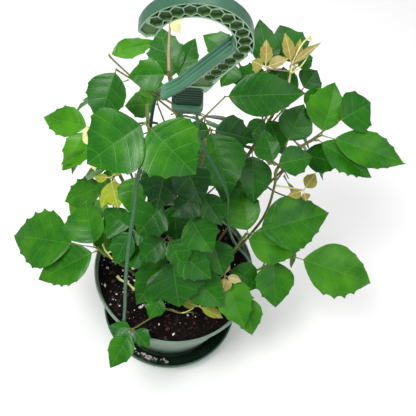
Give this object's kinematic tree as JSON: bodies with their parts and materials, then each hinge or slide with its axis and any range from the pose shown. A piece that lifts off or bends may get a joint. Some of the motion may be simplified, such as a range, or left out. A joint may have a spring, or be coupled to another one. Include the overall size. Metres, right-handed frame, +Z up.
{
  "type": "grape ivy in a hanging pot",
  "caption": "Grape ivy with toothed three-part leaves in a round green hanging pot with a saucer, slack straps and a moulded C-shaped hook.",
  "frame": {"origin": "centre of the saucer's underside, on the surface it stands on", "axes": "+Z up; the front, where one sprig lies across the pot's rim, looks along -Y; +X to the right of someone who faces the front"},
  "size_m": [0.4303, 0.3185, 0.5701],
  "materials": {
    "saucer_plastic": "smooth moulded plastic",
    "pot_plastic": "smooth moulded plastic, satin",
    "potting_mix": "loose dark peat with white perlite",
    "hanger_plastic": "moulded plastic, slightly glossy",
    "strap_plastic": "flexible moulded plastic",
    "leaf_green": "glossy living leaf, green stems",
    "young_leaf": "young leaf with fine tan hairs"
  },
  "bodies": {
    "root": {"saucer": "saucer_plastic", "pot": "pot_plastic", "soil": "potting_mix", "hanger_hook": "hanger_plastic", "strap_front_left": "strap_plastic", "strap_right": "strap_plastic", "strap_back": "strap_plastic", "vine_left": "leaf_green", "vine_upper_left": "leaf_green", "vine_centre_left": "leaf_green", "vine_tall": "leaf_green", "vine_top_right": "leaf_green", "vine_neck": "leaf_green", "vine_right": "leaf_green", "vine_front_right": "leaf_green", "vine_lower_right": "leaf_green", "vine_low_right": "leaf_green", "vine_front": "leaf_green", "vine_sprig": "leaf_green", "vine_centre": "leaf_green", "vine_strap_side": "leaf_green", "vine_back_left": "leaf_green", "vine_back": "leaf_green", "vine_back_right": "leaf_green", "young_left": "young_leaf", "young_tall": "young_leaf", "young_top_right": "young_leaf", "young_strap": "young_leaf", "young_right": "young_leaf", "young_front": "young_leaf", "young_soil": "young_leaf"}
  },
  "joints": []
}
